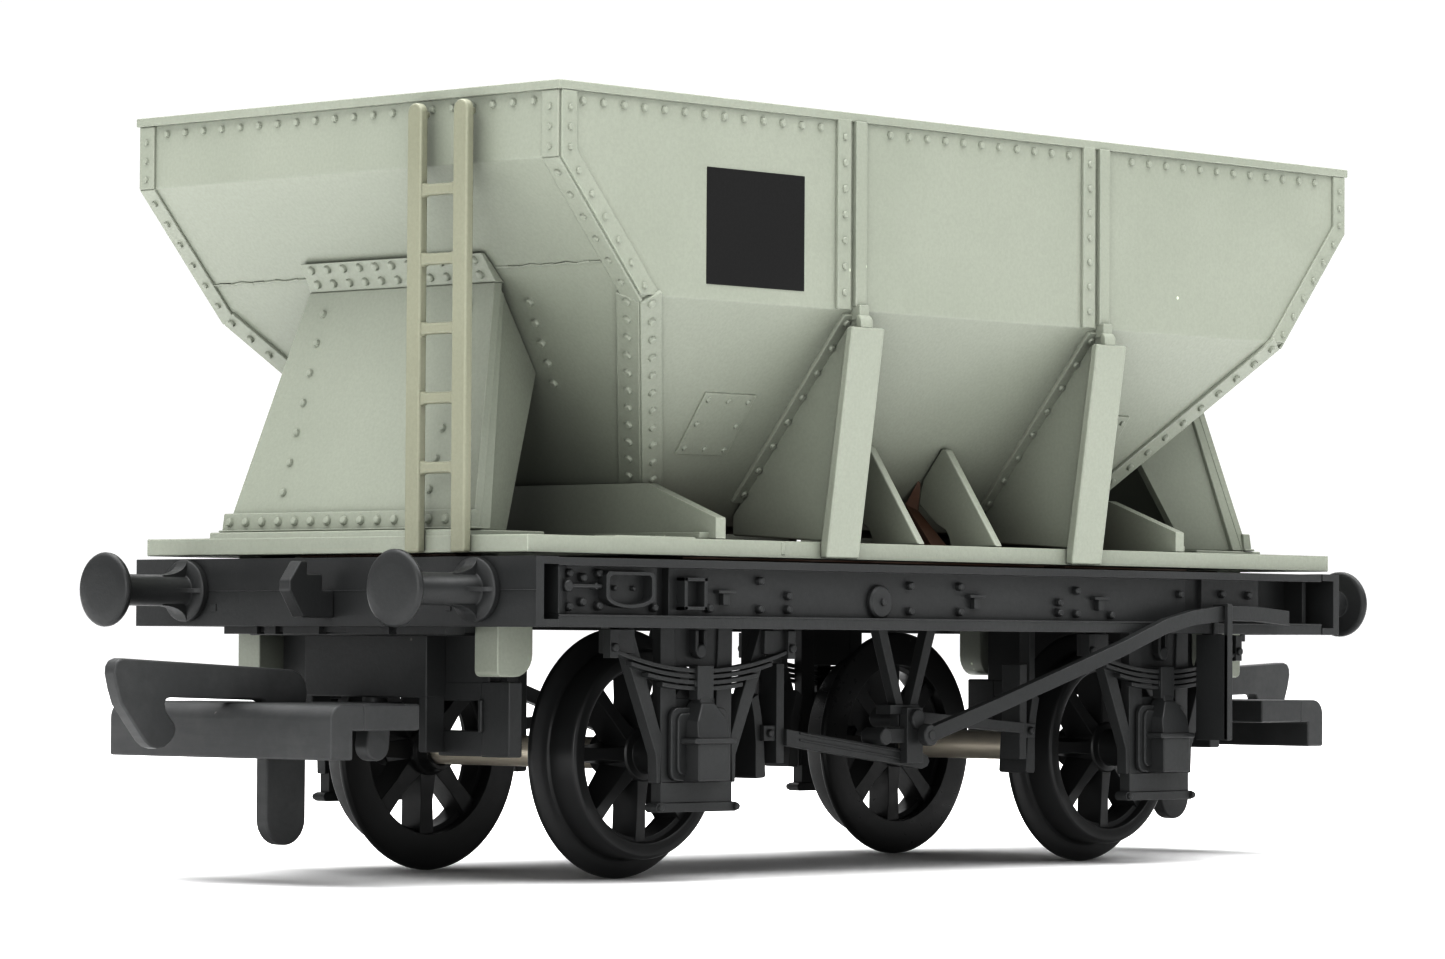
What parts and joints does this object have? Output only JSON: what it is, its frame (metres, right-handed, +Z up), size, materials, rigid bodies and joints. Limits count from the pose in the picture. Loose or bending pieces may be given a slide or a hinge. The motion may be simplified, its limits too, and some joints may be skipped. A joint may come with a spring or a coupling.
{
  "type": "model railway hopper wagon",
  "caption": "Model railway hopper wagon with an open ore hopper on a black underframe, spoked wheels that roll, and swinging couplings with lifting hooks.",
  "frame": {"origin": "under the middle of the wagon, level with the bottoms of the wheel flanges", "axes": "+X along the wagon towards its rear coupling, +Y across it to the right-hand side, +Z up"},
  "size_m": [0.101, 0.0348, 0.0424],
  "materials": {
    "body_plastic": "satin moulded plastic, light grey-green",
    "ladder_plastic": "satin moulded plastic, grey with a yellow cast",
    "chassis_plastic": "satin black moulded plastic",
    "wheel_plastic": "semi-gloss black moulded plastic",
    "axle_steel": "turned bright steel",
    "weight_steel": "bare steel, rusted brown"
  },
  "bodies": {
    "wagon": {"hopper_tub": "body_plastic", "body_deck": "body_plastic", "end_buttress_front": "body_plastic", "end_buttress_rear": "body_plastic", "bulkhead_front": "body_plastic", "bulkhead_rear": "body_plastic", "side_post_front_left": "body_plastic", "side_post_front_right": "body_plastic", "side_post_rear_left": "body_plastic", "side_post_rear_right": "body_plastic", "centre_gusset_front_left": "body_plastic", "centre_gusset_front_right": "body_plastic", "centre_gusset_rear_left": "body_plastic", "centre_gusset_rear_right": "body_plastic", "ladder_front": "ladder_plastic", "ladder_rear": "ladder_plastic", "ballast_weight": "weight_steel", "chassis_floor": "chassis_plastic", "solebar_left": "chassis_plastic", "solebar_right": "chassis_plastic", "headstock_front": "chassis_plastic", "headstock_rear": "chassis_plastic", "buffer_front_left": "chassis_plastic", "buffer_front_right": "chassis_plastic", "buffer_rear_left": "chassis_plastic", "buffer_rear_right": "chassis_plastic", "drawhook_front": "chassis_plastic", "drawhook_rear": "chassis_plastic", "axleguard_front_left": "chassis_plastic", "axleguard_front_right": "chassis_plastic", "axleguard_rear_left": "chassis_plastic", "axleguard_rear_right": "chassis_plastic", "axlebox_front_left": "chassis_plastic", "axlebox_front_right": "chassis_plastic", "axlebox_rear_left": "chassis_plastic", "axlebox_rear_right": "chassis_plastic", "leaf_spring_front_left": "chassis_plastic", "leaf_spring_front_right": "chassis_plastic", "leaf_spring_rear_left": "chassis_plastic", "leaf_spring_rear_right": "chassis_plastic", "brake_rigging_left": "chassis_plastic", "brake_rigging_right": "chassis_plastic", "brake_lever_left": "chassis_plastic", "brake_lever_right": "chassis_plastic", "brake_shoe_front_left": "chassis_plastic", "brake_shoe_front_right": "chassis_plastic", "brake_shoe_rear_left": "chassis_plastic", "brake_shoe_rear_right": "chassis_plastic", "coupling_mount_front": "chassis_plastic", "coupling_mount_rear": "chassis_plastic"},
    "wheelset_front": {"wheel_front_left": "wheel_plastic", "wheel_front_right": "wheel_plastic", "axle_front": "axle_steel"},
    "coupling_front": {"coupling_bar_front": "chassis_plastic"},
    "hook_front": {"coupling_hook_front": "chassis_plastic"},
    "wheelset_rear": {"wheel_rear_left": "wheel_plastic", "wheel_rear_right": "wheel_plastic", "axle_rear": "axle_steel"},
    "coupling_rear": {"coupling_bar_rear": "chassis_plastic"},
    "hook_rear": {"coupling_hook_rear": "chassis_plastic"}
  },
  "joints": [
    {"name": "wheelset_front_spin", "type": "hinge", "parent": "wagon", "child": "wheelset_front", "pos_m": [-0.0202, 0, 0.0069], "axis": [0, 1, 0], "continuous": true},
    {"name": "coupling_front_swing", "type": "hinge", "parent": "wagon", "child": "coupling_front", "pos_m": [-0.0315, 0, 0.009], "axis": [0, 0, 1], "range_deg": [-6, 6]},
    {"name": "hook_front_lift", "type": "hinge", "parent": "coupling_front", "child": "hook_front", "pos_m": [-0.0383, 0, 0.009], "axis": [0, 1, 0], "range_deg": [0, 22]},
    {"name": "wheelset_rear_spin", "type": "hinge", "parent": "wagon", "child": "wheelset_rear", "pos_m": [0.0202, 0, 0.0069], "axis": [0, 1, 0], "continuous": true},
    {"name": "coupling_rear_swing", "type": "hinge", "parent": "wagon", "child": "coupling_rear", "pos_m": [0.0315, 0, 0.009], "axis": [0, 0, 1], "range_deg": [-6, 6]},
    {"name": "hook_rear_lift", "type": "hinge", "parent": "coupling_rear", "child": "hook_rear", "pos_m": [0.0383, 0, 0.009], "axis": [0, -1, 0], "range_deg": [0, 22]}
  ]
}
